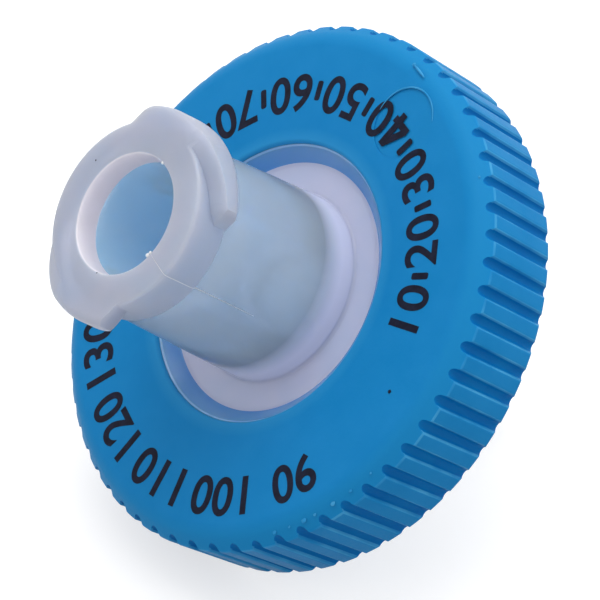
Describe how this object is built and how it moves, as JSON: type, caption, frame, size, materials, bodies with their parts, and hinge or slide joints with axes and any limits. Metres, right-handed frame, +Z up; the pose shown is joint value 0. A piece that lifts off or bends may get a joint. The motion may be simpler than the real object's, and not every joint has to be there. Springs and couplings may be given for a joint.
{
  "type": "syringe filter",
  "caption": "Round membrane filter: female luer lock hub, male luer slip nozzle and a grooved grip ring. It lies on the ring's edge and the nozzle's end.",
  "frame": {"origin": "under the middle of the filter as it lies, on the surface that it rests on", "axes": "+Z up, +X towards the low side where the nozzle's end rests, +Y level along the ring's tangent at the floor. The filter's own axis leans 46.7 degrees from +Z towards -X, with the inlet hub at its upper end"},
  "size_m": [0.0176, 0.019, 0.017],
  "materials": {
    "blue_plastic": "satin moulded polypropylene",
    "black_ink": "stamped black ink: a printed scale of plain numbers on the ring's front face",
    "natural_plastic": "translucent natural polypropylene, satin outside and polished in the luer socket",
    "membrane": "matt white porous film"
  },
  "bodies": {
    "root": {"grip_ring": "blue_plastic", "inlet_housing": "natural_plastic", "membrane": "membrane", "outlet_housing": "natural_plastic"}
  },
  "joints": []
}
